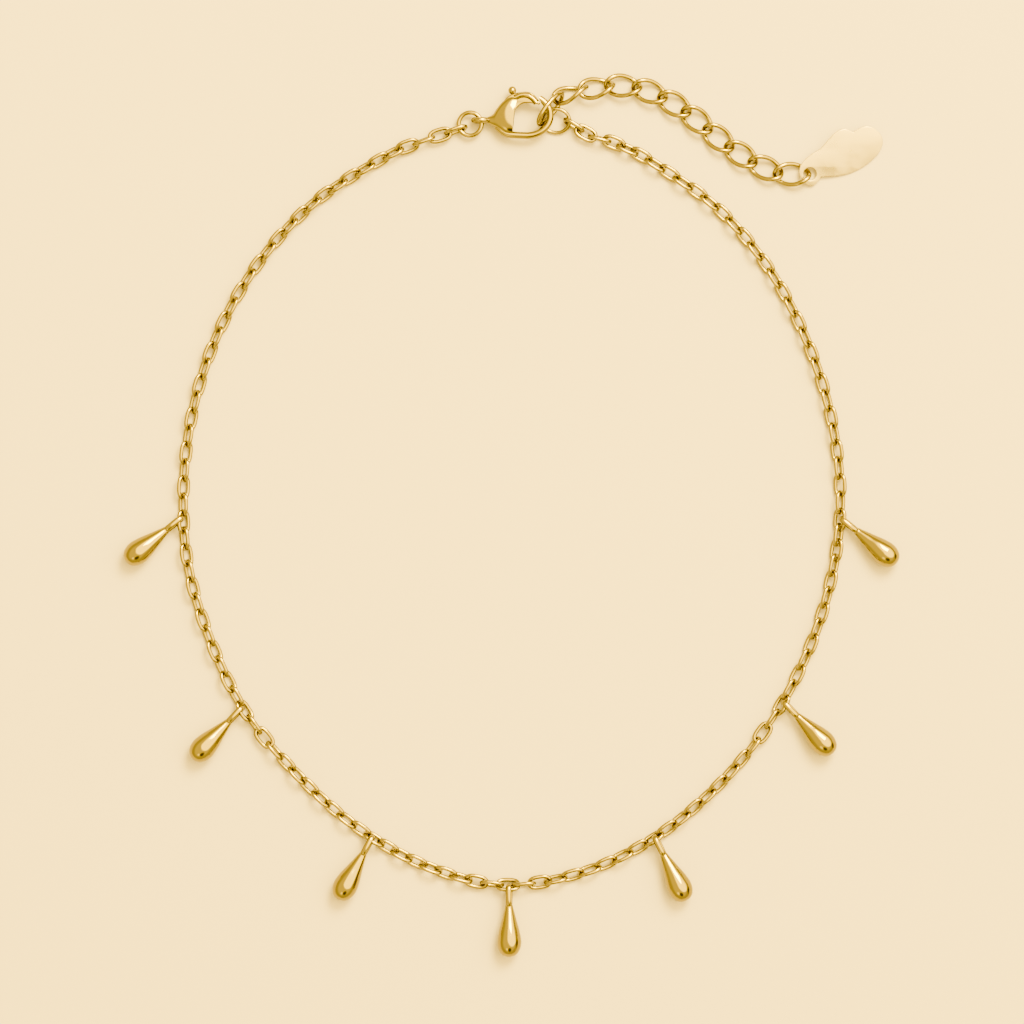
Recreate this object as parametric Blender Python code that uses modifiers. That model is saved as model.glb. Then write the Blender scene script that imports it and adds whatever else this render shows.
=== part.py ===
"""Fine gold chain necklace with seven teardrops, a lobster clasp and a curb extender.

It lies fastened on the plane z = 0, seen from above with +Y towards the clasp.
Units are metres. Lengths are written in millimetres times MM, angles in degrees.
"""

import math

import bmesh
import bpy
import numpy as np
from mathutils import Matrix, Vector

MM = 0.001

# Main chain: elongated cable links of round wire, alternate links turned a quarter
CHAIN_PITCH = 2.82 * MM
CHAIN_WIRE = 0.58 * MM
LINK_WIDTH = 2.6 * MM
LINK_SLACK = 0.13 * MM  # play between the wires of two links pulled straight
FLAT_ROLL = 40.0  # how far the flatter links lean, and the steeper ones
STEEP_ROLL = 56.0
MIDDLE_ROLL = 35.0  # of the middle drop's link, and of the one before it
MATE_ROLL = 108.0
END_ROLL = 75.0  # of the first and last link
SECTION_SPACING = 4.4 * MM  # along the tube that stands for the plain links

# Drops: turned teardrops with a soldered wire loop
DROP_LENGTH = 8.9 * MM
DROP_DIAMETER = 4.17 * MM
DROP_WIRE = 0.66 * MM
DROP_LOOP_REACH = 3.6 * MM  # of the loop beyond the body
DROP_LOOP_PLAY = 0.14 * MM  # between the loop and the link wire that it holds
DROP_LOOP_ROLL = 30.0  # of the loop about the drop's length

# Jump ring on the left, end ring on the right
JUMP_RING_DIAMETER = 4.7 * MM
JUMP_RING_WIRE = 0.78 * MM
END_RING_LENGTH = 5.4 * MM
END_RING_WIDTH = 4.8 * MM
END_RING_WIRE = 0.66 * MM

# Clasp
CLASP_THICKNESS = 2.7 * MM
BOW_WIRE = 1.0 * MM
BOW_LENGTH = 7.92 * MM  # of the oval that the bow's middle line follows
BOW_WIDTH = 6.8 * MM
EYE_WIRE = 1.0 * MM
EYE_LENGTH = 3.4 * MM
EYE_PLAY = 0.14 * MM
LEVER_THICKNESS = 0.9 * MM
LEVER_PLAY = 0.15 * MM  # each side of the lever in its slot, and round its pin
PIN_DIAMETER = 0.8 * MM
KNOB_DIAMETER = 1.4 * MM

# Extender of curb links, and the tag on its last link
EXTENDER_PITCH = 4.84 * MM
EXTENDER_WIRE = 0.8 * MM
EXTENDER_WIDTH = 4.3 * MM
EXTENDER_SLACK = 0.26 * MM
EXTENDER_TWIST = 40.0  # of each link's ends about its length
FIRST_LINK_LENGTH = 7.3 * MM  # untwisted, on the end ring and the clasp
TAG_THICKNESS = 0.45 * MM
TAG_HOLE_DIAMETER = 2.3 * MM

LOOP_POINTS = 12  # round each link and ring

# The chain as it lies, through the middles of its first and last links, in millimetres
CHAIN_ROUTE = [
    (-9.4, 65.1), (-15.5, 63.1), (-21.8, 60.4), (-33.3, 53.0), (-42.6, 43.1),
    (-49.5, 31.4), (-53.9, 18.5), (-55.7, 5.1), (-55.0, -8.4), (-51.2, -21.4),
    (-45.3, -33.5), (-36.7, -44.0), (-26.6, -53.0), (-14.8, -59.7), (-1.8, -63.0),
    (11.6, -61.0), (23.8, -55.3), (34.4, -46.8), (43.2, -36.4), (49.8, -24.6),
    (54.1, -11.7), (55.8, 1.9), (54.4, 15.5), (50.4, 28.6), (44.1, 40.9),
    (35.3, 51.5), (24.1, 59.5), (17.9, 62.7), (13.3, 64.2), (10.45, 65.95),
]  # fmt: skip

# Play taken up along the chain, in link lengths at these shares of it
CHAIN_PLAY = [
    (0.0, 0.0), (0.024, 0.1), (0.056, 0.0), (0.103, -0.25), (0.175, -0.2), (0.246, 0.15),
    (0.341, 0.22), (0.429, 0.26), (0.5, -0.14), (0.524, -0.25), (0.571, 0.16), (0.659, 0.4),
    (0.690, 0.45), (0.730, 0.4), (0.754, 0.17), (0.778, 0.3), (0.817, 0.45), (0.960, 0.5),
    (1.0, 0.0),
]  # fmt: skip

# Each drop: its place as a share of the chain, the way it points, the lean of its link,
# and how far along the link it sits in millimetres
DROPS = [
    {"share": 0.246, "heading": 218.2, "link_roll": FLAT_ROLL, "slide": -0.3},
    {"share": 0.341, "heading": 226.1, "link_roll": FLAT_ROLL, "slide": -0.5},
    {"share": 0.429, "heading": 241.1, "link_roll": STEEP_ROLL, "slide": -0.4},
    {"share": 0.500, "heading": 270.2, "link_roll": MIDDLE_ROLL, "slide": 0.2},
    {"share": 0.571, "heading": 296.3, "link_roll": STEEP_ROLL, "slide": 0.3},
    {"share": 0.659, "heading": 314.1, "link_roll": FLAT_ROLL, "slide": 0.4},
    {"share": 0.754, "heading": 321.5, "link_roll": FLAT_ROLL, "slide": -0.2},
]

# The drop's turned outline from its top to its tip, as shares of its length and radius
DROP_OUTLINE = [
    (0.00, 0.27), (0.07, 0.36), (0.20, 0.51), (0.34, 0.67), (0.49, 0.85), (0.63, 0.97),
    (0.725, 1.00), (0.83, 0.92), (0.92, 0.72), (0.97, 0.47),
]  # fmt: skip

# Rings: place of the middle in millimetres, direction of the length, its rise and its lean
JUMP_RING_POSE = {"x": -7.07, "y": 66.1, "z": 1.37, "heading": 1, "pitch": 6, "roll": 1}
END_RING_POSE = {"x": 7.49, "y": 66.7, "z": 0.94, "heading": -4, "pitch": 6.5, "roll": 16}
EXTENDER_POSES = [
    {"x": 6.56, "y": 68.64, "z": 2.22, "heading": 52, "pitch": -11, "roll": 65},
    {"x": 9.95, "y": 71.3, "z": 1.92, "heading": 20, "pitch": 1, "roll": -54},
    {"x": 14.35, "y": 72.25, "z": 1.6, "heading": 11, "pitch": -4, "roll": -28},
    {"x": 18.9, "y": 72.6, "z": 1.31, "heading": -4, "pitch": -2, "roll": -12},
    {"x": 23.45, "y": 71.6, "z": 1.25, "heading": -21, "pitch": -2, "roll": -6},
    {"x": 27.65, "y": 69.5, "z": 1.17, "heading": -31, "pitch": -2, "roll": -3},
    {"x": 31.45, "y": 66.8, "z": 1.1, "heading": -38, "pitch": -1, "roll": -2},
    {"x": 35.1, "y": 63.75, "z": 1.1, "heading": -39, "pitch": 1, "roll": -1},
    {"x": 38.9, "y": 60.95, "z": 1.14, "heading": -33, "pitch": 1, "roll": 0},
    {"x": 43.05, "y": 58.65, "z": 1.15, "heading": -24, "pitch": 1, "roll": 3},
    {"x": 47.55, "y": 57.6, "z": 1.1, "heading": -2, "pitch": 1, "roll": -2},
]

# Clasp: place of its eye in plan in millimetres, heights of its eye and its bow's far end
CLASP_PLACE = (-5.47, 66.73)
CLASP_EYE_HEIGHT = 1.55 * MM
CLASP_BOW_HEIGHT = 2.42 * MM

# Clasp in its own plane, in millimetres
EYE_CENTRE = (0.2, 0.0)
BOW_CENTRE = (8.08, 0.77)
BOW_TIP_ANGLE = 62.0
BOW_ROOT = [(5.2, -2.45), (3.9, -1.9), (3.0, -1.0)]
PIVOT = (4.17, 0.17)
TIP_RADIUS = 6.7  # of the lever's end about its pin
CHEEK_OUTLINE = [
    (1.5, 0.45), (2.3, 0.95), (3.05, 2.15), (4.0, 3.3), (5.1, 4.0), (6.1, 3.95),
    (6.35, 3.2), (6.0, 1.6), (5.8, -0.2), (5.75, -1.75), (4.4, -2.3), (2.9, -1.35),
    (1.5, -0.45),
]  # fmt: skip
LEVER_OUTLINE = [
    (3.25, 0.2), (3.5, 1.9), (4.5, 3.7), (5.6, 4.42), (7.0, 4.72), (8.4, 4.72),
    (9.5, 4.15), (10.0, 3.4), (10.35, 2.6), (9.6, 2.55), (8.5, 2.5), (7.2, 2.3),
    (6.1, 1.6), (5.1, 0.3), (4.2, -0.75),
]  # fmt: skip
KNOB_PLACE = (5.58, 5.05)

# Tag in plan from the middle of its hole, in millimetres, with its two notches
TAG_PLACE = (50.6, 57.7)
TAG_HEIGHT = 1.05 * MM
TAG_SLOPE = (-0.12, 0.26)  # of its face along X and Y
TAG_OUTLINE = [
    (-1.8, 0.85), (-1.25, 2.0), (0.1, 3.3), (1.6, 4.3), (3.0, 5.9), (4.3, 7.25),
    (5.7, 7.75), (7.15, 7.2), (8.1, 7.8), (9.6, 8.25), (11.2, 7.55), (12.25, 5.9),
    (12.0, 4.35), (10.9, 2.85), (9.1, 1.3), (7.0, 0.25), (4.7, -0.3), (1.95, -0.45),
    (1.5, -1.2), (0.4, -2.05), (-0.75, -1.6), (-1.7, -0.3),
]  # fmt: skip
TAG_NOTCHES = (7, 17)

GOLD = (0.83, 0.58, 0.19)


def clear_scene():
    for item in list(bpy.data.objects):
        bpy.data.objects.remove(item)


def new_collection(name, parent):
    made = bpy.data.collections.new(name)
    parent.children.link(made)
    return made


def gold(name, roughness=0.12):
    made = bpy.data.materials.new(name)
    made.use_nodes = True
    shader = made.node_tree.nodes["Principled BSDF"]
    shader.inputs["Base Color"].default_value = (*GOLD, 1.0)
    shader.inputs["Metallic"].default_value = 1.0
    shader.inputs["Roughness"].default_value = roughness
    made.diffuse_color = (*GOLD, 1.0)
    return made


def add_object(name, data, frame=None):
    """An object in the parts collection, with a material of its own."""
    made = bpy.data.objects.new(name, data)
    PARTS.objects.link(made)
    made.matrix_world = frame if frame is not None else Matrix()
    data.materials.clear()
    data.materials.append(gold(name + "_gold"))
    return made


def as_helper(item, collection):
    """Moves a cutter or a piece to be joined out of the parts and hides it."""
    PARTS.objects.unlink(item)
    collection.objects.link(item)
    item.hide_render = True
    item.display_type = "WIRE"
    return item


def spline_object(name, points, cyclic, frame=None):
    """A 3D curve object with one straight-sided spline."""
    curve = bpy.data.curves.new(name, "CURVE")
    curve.dimensions = "3D"
    spline = curve.splines.new("POLY")
    spline.points.add(len(points) - 1)
    for point, place in zip(spline.points, points):
        point.co = (*place, 1.0)
    spline.use_cyclic_u = cyclic
    return add_object(name, curve, frame)


def wire_ring(name, points, wire, frame=None):
    """A closed ring of six-sided wire."""
    ring = spline_object(name, points, True, frame)
    ring.data.bevel_depth = wire / 2
    ring.data.bevel_resolution = 1
    return ring


def as_mesh(item):
    """The curve object made a closed mesh object of the same name."""
    graph = bpy.context.evaluated_depsgraph_get()
    mesh = bpy.data.meshes.new_from_object(item.evaluated_get(graph))
    welded = bmesh.new()
    welded.from_mesh(mesh)
    bmesh.ops.remove_doubles(welded, verts=welded.verts, dist=0.001 * MM)
    bmesh.ops.recalc_face_normals(welded, faces=welded.faces)
    welded.to_mesh(mesh)
    welded.free()
    name, frame = item.name, item.matrix_world.copy()
    bpy.data.objects.remove(item)
    return add_object(name, mesh, frame)


def fuse(base, pieces):
    """Joins the pieces to the base object by a Boolean union that stays on it."""
    joined = new_collection(base.name + "_pieces", HELPERS)
    for piece in pieces:
        as_helper(piece, joined)
    union = base.modifiers.new("join", "BOOLEAN")
    union.operation = "UNION"
    union.operand_type = "COLLECTION"
    union.collection = joined


def cut(base, cutter):
    cutting = base.modifiers.new("cut " + cutter.name, "BOOLEAN")
    cutting.operation = "DIFFERENCE"
    cutting.object = as_helper(cutter, HELPERS)


def smooth_curve(points, steps, closed=False):
    """Points on a smooth curve through the given ones, steps to each stretch."""
    given = np.array(points, float)
    if closed:
        padded = np.vstack([given[-1], given, given[:2]])
    else:
        first = 2 * given[0] - given[1]
        last = 2 * given[-1] - given[-2]
        padded = np.vstack([first, given, last])
    made = []
    for a, b, c, d in zip(padded, padded[1:], padded[2:], padded[3:]):
        for t in np.arange(steps) / steps:
            made.append(
                0.5 * (2 * b + (c - a) * t + (2 * a - 5 * b + 4 * c - d) * t**2
                       + (3 * b - a - 3 * c + d) * t**3)
            )  # fmt: skip
    if not closed:
        made.append(given[-1])
    return np.array(made)


def oval(length, width, squareness=2.0, twist=0.0):
    """The middle line of a ring in its XY plane, its ends twisted about X."""
    turn = 2 * np.pi * (np.arange(LOOP_POINTS) + 0.5) / LOOP_POINTS
    along, across = np.cos(turn), np.sin(turn)
    x = length / 2 * np.sign(along) * np.abs(along) ** (2 / squareness)
    y = width / 2 * np.sign(across) * np.abs(across) ** (2 / squareness)
    lean = -math.radians(twist) * 2 * x / length
    return np.column_stack([x, y * np.cos(lean), y * np.sin(lean)])


def placed(place, heading=0.0, pitch=0.0, roll=0.0):
    """A frame whose X axis has that heading and upward pitch, rolled about itself."""
    return (
        Matrix.Translation(Vector(place))
        @ Matrix.Rotation(math.radians(heading), 4, "Z")
        @ Matrix.Rotation(math.radians(-pitch), 4, "Y")
        @ Matrix.Rotation(math.radians(roll), 4, "X")
    )


class Chain:
    """Where the links of the main chain lie."""

    height = (LINK_WIDTH - CHAIN_WIRE) * math.sin(math.radians(STEEP_ROLL)) + CHAIN_WIRE

    def __init__(self):
        self.path = smooth_curve(CHAIN_ROUTE, 40) * MM
        steps = np.linalg.norm(np.diff(self.path, axis=0), axis=1)
        self.along = np.concatenate([[0.0], np.cumsum(steps)])
        self.count = round(self.along[-1] / CHAIN_PITCH) + 1
        self.pitch = self.along[-1] / (self.count - 1)
        self.link_length = self.pitch + 2 * CHAIN_WIRE + LINK_SLACK

    def at(self, distance):
        """The place and the heading of the chain's middle line."""
        near = 0.2 * MM
        ends = [
            [np.interp(distance + step, self.along, self.path[:, k]) for k in (0, 1)]
            for step in (-near, near)
        ]
        x, y = np.mean(ends, axis=0)
        dx, dy = np.subtract(ends[1], ends[0])
        return (x, y, self.height / 2), math.degrees(math.atan2(dy, dx))

    def link_distance(self, index):
        """How far along the chain that link's middle is."""
        shares, plays = zip(*CHAIN_PLAY)
        return (index + np.interp(index / (self.count - 1), shares, plays)) * self.pitch

    def link_frame(self, index, roll):
        """A link's frame: X along the chain, +Y to the inside of the loop."""
        (x, y, z), heading = self.at(self.link_distance(index))
        rise = (LINK_WIDTH - CHAIN_WIRE) * math.sin(math.radians(roll)) + CHAIN_WIRE
        return placed((x, y, max(z, rise / 2)), heading, 0, -roll)


def chain_half(name, chain, carriers):
    """Real links where something hangs or joins, and a tube for the plain ones."""
    links, tubes = [], []
    for index, roll in carriers:
        points = oval(chain.link_length - CHAIN_WIRE, LINK_WIDTH - CHAIN_WIRE, 2.8)
        ring = wire_ring(f"{name}_link_{index}", points, CHAIN_WIRE, chain.link_frame(index, roll))
        links.append(as_mesh(ring))
    hidden_end = chain.link_length / 2 - 0.7 * CHAIN_WIRE
    for (first, _), (last, _) in zip(carriers, carriers[1:]):
        start = chain.link_distance(first) + hidden_end
        end = chain.link_distance(last) - hidden_end
        count = math.ceil((end - start) / SECTION_SPACING) + 1
        points = [chain.at(place)[0] for place in np.linspace(start, end, count)]
        tube = spline_object(f"{name}_tube_{first}", points, False)
        tube.data.twist_mode = "Z_UP"
        tube.data.bevel_resolution = 2
        sides = 8
        tube.data.bevel_depth = chain.height / 2 / math.cos(math.pi / sides)
        tube.data.use_fill_caps = True
        for point in tube.data.splines[0].points:
            point.tilt = math.pi / sides
        tubes.append(as_mesh(tube))
    base = tubes[0]
    base.name = name
    fuse(base, tubes[1:] + links)


def chain_halves(chain):
    """The left and right halves, which interlock beside the middle drop."""
    hung = [(round(drop["share"] * (chain.count - 1)), drop["link_roll"]) for drop in DROPS]
    middle = hung[len(hung) // 2][0]
    left = [(0, END_ROLL)] + [link for link in hung if link[0] < middle]
    right = [link for link in hung if link[0] >= middle] + [(chain.count - 1, END_ROLL)]
    left.append((middle - 1, MATE_ROLL))
    chain_half("chain_left", chain, left)
    chain_half("chain_right", chain, right)


def drop_frame(chain, drop):
    """The drop's frame: -Z to its tip, X to its loop's upper side, lying on z = 0."""
    index = round(drop["share"] * (chain.count - 1))
    link = chain.link_frame(index, drop["link_roll"])
    held = link @ Vector((drop["slide"] * MM, -(LINK_WIDTH - CHAIN_WIRE) / 2, 0))
    reach = CHAIN_WIRE / 2 + DROP_LOOP_PLAY + DROP_WIRE / 2
    loop_end = DROP_LOOP_REACH - DROP_WIRE / 2
    heading = math.radians(drop["heading"])
    low, high = math.radians(-30), math.radians(30)
    for _ in range(40):
        pitch = (low + high) / 2
        aim = Vector((
            math.cos(pitch) * math.cos(heading),
            math.cos(pitch) * math.sin(heading),
            math.sin(pitch),
        ))
        top = held + aim * (loop_end - reach)
        lowest = min(
            top.z + aim.z * share * DROP_LENGTH - size * DROP_DIAMETER / 2 * math.cos(pitch)
            for share, size in DROP_OUTLINE
        )
        low, high = (pitch, high) if lowest < 0 else (low, pitch)
    upright = Vector((0, 0, 1)) - aim * aim.z
    upper = Matrix.Rotation(math.radians(DROP_LOOP_ROLL), 3, aim) @ upright.normalized()
    side = (-aim).cross(upper)
    frame = Matrix((upper, side, -aim)).transposed().to_4x4()
    frame.translation = top
    return frame


def make_drop(name, chain, drop):
    """A teardrop turned from its outline, joined to its wire loop."""
    frame = drop_frame(chain, drop)
    radius = DROP_DIAMETER / 2
    outline = [(0, 0)] + [(share, size) for share, size in DROP_OUTLINE] + [(1, 0)]
    profile = bmesh.new()
    points = [
        profile.verts.new((size * radius, 0, -share * DROP_LENGTH)) for share, size in outline
    ]
    for upper, lower in zip(points, points[1:]):
        profile.edges.new((upper, lower))
    mesh = bpy.data.meshes.new(name)
    profile.to_mesh(mesh)
    profile.free()
    body = add_object(name, mesh, frame)
    turning = body.modifiers.new("turn", "SCREW")
    turning.steps = turning.render_steps = 14
    turning.use_merge_vertices = True
    turning.merge_threshold = 0.01 * MM
    turning.use_smooth_shade = True
    seat = 0.6 * MM  # of the loop's root inside the body
    length = DROP_LOOP_REACH - DROP_WIRE + seat
    width = CHAIN_WIRE + 2 * DROP_LOOP_PLAY + DROP_WIRE
    points = [
        (y, 0, x + DROP_LOOP_REACH - DROP_WIRE / 2 - length / 2)
        for x, y, _ in oval(length, width, 2.6)
    ]
    loop = as_mesh(wire_ring(name + "_loop", points, DROP_WIRE, frame))
    fuse(body, [loop])


def posed_ring(name, points, wire, pose):
    """A ring of wire in the place that its pose gives."""
    place = (pose["x"] * MM, pose["y"] * MM, pose["z"] * MM)
    wire_ring(name, points, wire, placed(place, pose["heading"], pose["pitch"], pose["roll"]))


def clasp_frame():
    """The clasp's plane, rising from its eye to the far end of its bow."""
    run = BOW_CENTRE[0] * MM + BOW_LENGTH / 2
    pitch = math.degrees(math.asin((CLASP_BOW_HEIGHT - CLASP_EYE_HEIGHT) / run))
    x, y = CLASP_PLACE
    return placed((x * MM, y * MM, CLASP_EYE_HEIGHT), 0, pitch)


def flat_plate(name, outline, thickness, frame, sharp=(), holes=(), rounding=0.0):
    """A plate with a smooth outline in millimetres, and round holes through it."""
    curve = bpy.data.curves.new(name, "CURVE")
    curve.dimensions = "2D"
    curve.fill_mode = "BOTH"
    curve.extrude = thickness / 2 - rounding
    curve.bevel_depth = rounding
    curve.bevel_resolution = 0
    curve.offset = -rounding
    curve.resolution_u = 4
    spline = curve.splines.new("BEZIER")
    spline.use_cyclic_u = True
    spline.bezier_points.add(len(outline) - 1)
    for index, (point, (x, y)) in enumerate(zip(spline.bezier_points, outline)):
        point.co = (x * MM, y * MM, 0)
        kind = "VECTOR" if index in sharp else "AUTO"
        point.handle_left_type = point.handle_right_type = kind
    for x, y, diameter in holes:
        sides = 16
        ring = curve.splines.new("POLY")
        ring.use_cyclic_u = True
        ring.points.add(sides - 1)
        for k, point in enumerate(ring.points):
            turn = 2 * math.pi * k / sides
            point.co = (
                x * MM + diameter / 2 * math.cos(turn),
                y * MM + diameter / 2 * math.sin(turn), 0, 1,
            )
    return as_mesh(add_object(name, curve, frame))


def clasp_cylinder(name, centre, radius, depth, frame, sides=16):
    """An upright cylinder in the clasp's plane, its centre in millimetres."""
    shape = bmesh.new()
    bmesh.ops.create_cone(
        shape, cap_ends=True, segments=sides, radius1=radius, radius2=radius, depth=depth
    )
    mesh = bpy.data.meshes.new(name)
    shape.to_mesh(mesh)
    shape.free()
    local = Matrix.Translation((centre[0] * MM, centre[1] * MM, 0))
    return add_object(name, mesh, frame @ local)


def make_clasp_body():
    """Eye, neck, two cheeks with the pin between them, and bow, cast in one."""
    frame = clasp_frame()
    body = flat_plate("clasp_body", CHEEK_OUTLINE, CLASP_THICKNESS, frame, rounding=0.25 * MM)

    slot_height = LEVER_THICKNESS + 2 * LEVER_PLAY
    spine_x, spine_y, far = 2.9 * MM, -1.0 * MM, 14 * MM
    slot = bmesh.new()
    bmesh.ops.create_cube(slot, size=1.0)
    mesh = bpy.data.meshes.new("lever_slot")
    slot.to_mesh(mesh)
    slot.free()
    box = Matrix.Translation((spine_x + far / 2, spine_y + far / 2, 0)) @ Matrix.Diagonal(
        (far, far, slot_height, 1)
    )
    cut(body, add_object("lever_slot", mesh, frame @ box))

    half_length, half_width = BOW_LENGTH / 2 / MM, BOW_WIDTH / 2 / MM
    arc = [
        (
            BOW_CENTRE[0] + half_length * math.cos(math.radians(turn)),
            BOW_CENTRE[1] + half_width * math.sin(math.radians(turn)),
        )
        for turn in np.linspace(BOW_TIP_ANGLE, -90, 13)
    ]
    line = smooth_curve(arc + BOW_ROOT, 1) * MM
    bow = spline_object("clasp_bow", [(x, y, 0) for x, y in line], False, frame)
    bow.data.bevel_depth = BOW_WIRE / 2
    bow.data.bevel_resolution = 2
    bow.data.use_fill_caps = True
    bow = as_mesh(bow)
    sweep = [(PIVOT[0], PIVOT[1])] + [
        (
            PIVOT[0] + (TIP_RADIUS + 0.18) * math.cos(math.radians(turn)),
            PIVOT[1] + (TIP_RADIUS + 0.18) * math.sin(math.radians(turn)),
        )
        for turn in np.linspace(8, 70, 10)
    ]
    sharp = range(len(sweep))
    cut(bow, flat_plate("lever_sweep", sweep, 2 * BOW_WIRE, frame, sharp=sharp))

    eye_width = JUMP_RING_WIRE + 2 * EYE_PLAY + EYE_WIRE
    x, y = EYE_CENTRE
    eye_frame = frame @ Matrix.Translation((x * MM, y * MM, 0))
    points = [(x, 0, z) for x, z, _ in oval(EYE_LENGTH - EYE_WIRE, eye_width)]
    eye = as_mesh(wire_ring("clasp_eye", points, EYE_WIRE, eye_frame))
    pin = clasp_cylinder("clasp_pin", PIVOT, PIN_DIAMETER / 2, CLASP_THICKNESS * 0.8, frame, 12)
    fuse(body, [bow, eye, pin])


def make_clasp_lever():
    """The lever between the cheeks, turning on the pin, with its thumb knob."""
    frame = clasp_frame() @ Matrix.Translation((PIVOT[0] * MM, PIVOT[1] * MM, 0))
    outline = [(x - PIVOT[0], y - PIVOT[1]) for x, y in LEVER_OUTLINE]
    bore = PIN_DIAMETER + 2 * LEVER_PLAY
    lever = flat_plate("clasp_lever", outline, LEVER_THICKNESS, frame, holes=[(0, 0, bore)])
    shape = bmesh.new()
    bmesh.ops.create_uvsphere(shape, u_segments=10, v_segments=8, radius=KNOB_DIAMETER / 2)
    mesh = bpy.data.meshes.new("clasp_knob")
    shape.to_mesh(mesh)
    shape.free()
    place = Matrix.Translation(
        ((KNOB_PLACE[0] - PIVOT[0]) * MM, (KNOB_PLACE[1] - PIVOT[1]) * MM, 0)
    )
    fuse(lever, [add_object("clasp_knob", mesh, frame @ place)])


def make_extender():
    length = EXTENDER_PITCH + EXTENDER_WIRE + EXTENDER_SLACK
    width = EXTENDER_WIDTH - EXTENDER_WIRE
    curb = oval(length, width, 2.1, EXTENDER_TWIST)
    first = oval(FIRST_LINK_LENGTH - EXTENDER_WIRE, width, 2.1)
    for number, pose in enumerate(EXTENDER_POSES, 1):
        points = first if number == 1 else curb
        posed_ring(f"extender_link_{number:02d}", points, EXTENDER_WIRE, pose)


def make_tag():
    """A thin plate threaded on the last link, one edge resting near the surface."""
    along = Vector((1, 0, TAG_SLOPE[0])).normalized()
    normal = along.cross(Vector((0, 1, TAG_SLOPE[1]))).normalized()
    frame = Matrix((along, normal.cross(along), normal)).transposed().to_4x4()
    frame.translation = Vector((TAG_PLACE[0] * MM, TAG_PLACE[1] * MM, TAG_HEIGHT))
    hole = (0, 0, TAG_HOLE_DIAMETER)
    flat_plate("tag", TAG_OUTLINE, TAG_THICKNESS, frame, sharp=TAG_NOTCHES, holes=[hole])


def seat_on_origin():
    """Moves the whole necklace so that its box stands centred on the origin."""
    bpy.context.view_layer.update()
    graph = bpy.context.evaluated_depsgraph_get()
    corners = []
    for item in PARTS.objects:
        solid = item.evaluated_get(graph)
        mesh = solid.to_mesh()
        corners += [solid.matrix_world @ vertex.co for vertex in mesh.vertices]
        solid.to_mesh_clear()
    corners = np.array(corners)
    low, high = corners.min(axis=0), corners.max(axis=0)
    whole = bpy.data.objects.new("necklace", None)
    PARTS.objects.link(whole)
    for item in list(PARTS.objects) + list(HELPERS.all_objects):
        if item is not whole:
            item.parent = whole
    whole.location = (-(low[0] + high[0]) / 2, -(low[1] + high[1]) / 2, -low[2])


clear_scene()
PARTS = new_collection("drop_necklace", bpy.context.scene.collection)
HELPERS = new_collection("cutters_and_joined_pieces", bpy.context.scene.collection)
main_chain = Chain()
chain_halves(main_chain)
for number, drop in enumerate(DROPS, 1):
    make_drop(f"drop_{number}", main_chain, drop)
ring_middle = JUMP_RING_DIAMETER - JUMP_RING_WIRE
posed_ring("jump_ring", oval(ring_middle, ring_middle), JUMP_RING_WIRE, JUMP_RING_POSE)
end_middle = oval(END_RING_LENGTH - END_RING_WIRE, END_RING_WIDTH - END_RING_WIRE)
posed_ring("end_ring", end_middle, END_RING_WIRE, END_RING_POSE)
make_clasp_body()
make_clasp_lever()
make_extender()
make_tag()
seat_on_origin()
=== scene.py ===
"""A gold-plated drop necklace, fastened and lying on a cream sheet, seen from straight above."""

import math

import bmesh
import bpy
import numpy as np
from mathutils import Matrix, Vector


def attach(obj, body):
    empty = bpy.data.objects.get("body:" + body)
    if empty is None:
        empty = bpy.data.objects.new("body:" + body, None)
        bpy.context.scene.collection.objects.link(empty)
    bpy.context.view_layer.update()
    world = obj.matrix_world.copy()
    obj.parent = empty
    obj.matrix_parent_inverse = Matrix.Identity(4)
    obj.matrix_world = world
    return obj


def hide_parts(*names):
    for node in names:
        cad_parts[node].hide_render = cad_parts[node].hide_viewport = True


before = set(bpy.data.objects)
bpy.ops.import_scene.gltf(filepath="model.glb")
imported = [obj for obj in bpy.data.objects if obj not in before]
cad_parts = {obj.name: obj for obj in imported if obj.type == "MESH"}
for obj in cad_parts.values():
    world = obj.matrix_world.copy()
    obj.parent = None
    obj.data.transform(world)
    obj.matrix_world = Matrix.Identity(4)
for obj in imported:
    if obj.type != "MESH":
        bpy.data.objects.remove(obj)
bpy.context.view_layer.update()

# Viewpoint. The photograph looks straight down through a long lens, 0.17 mm to a pixel.
# The camera hangs 0.9 m over the sheet, where 1024 pixels span 174 mm.
MM = 0.001
SEAT = Vector((0.039, 0.262, 0.0)) * MM  # from the drawing's origin to the middle of its box
PIXEL = 0.17 * MM
CAMERA_HEIGHT = 0.9
FRAME_SHIFT = (0.3 * PIXEL, 1.5 * PIXEL)  # from the middle of the box to that of the frame

lens = bpy.data.cameras.new("overhead_lens")
lens.sensor_width = 36
lens.lens = 36 * CAMERA_HEIGHT / (1024 * PIXEL)
lens.clip_end = 10
camera = bpy.data.objects.new("overhead_camera", lens)
camera.location = (SEAT.x + FRAME_SHIFT[0], SEAT.y + FRAME_SHIFT[1], CAMERA_HEIGHT)
bpy.context.scene.collection.objects.link(camera)
bpy.context.scene.camera = camera

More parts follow.
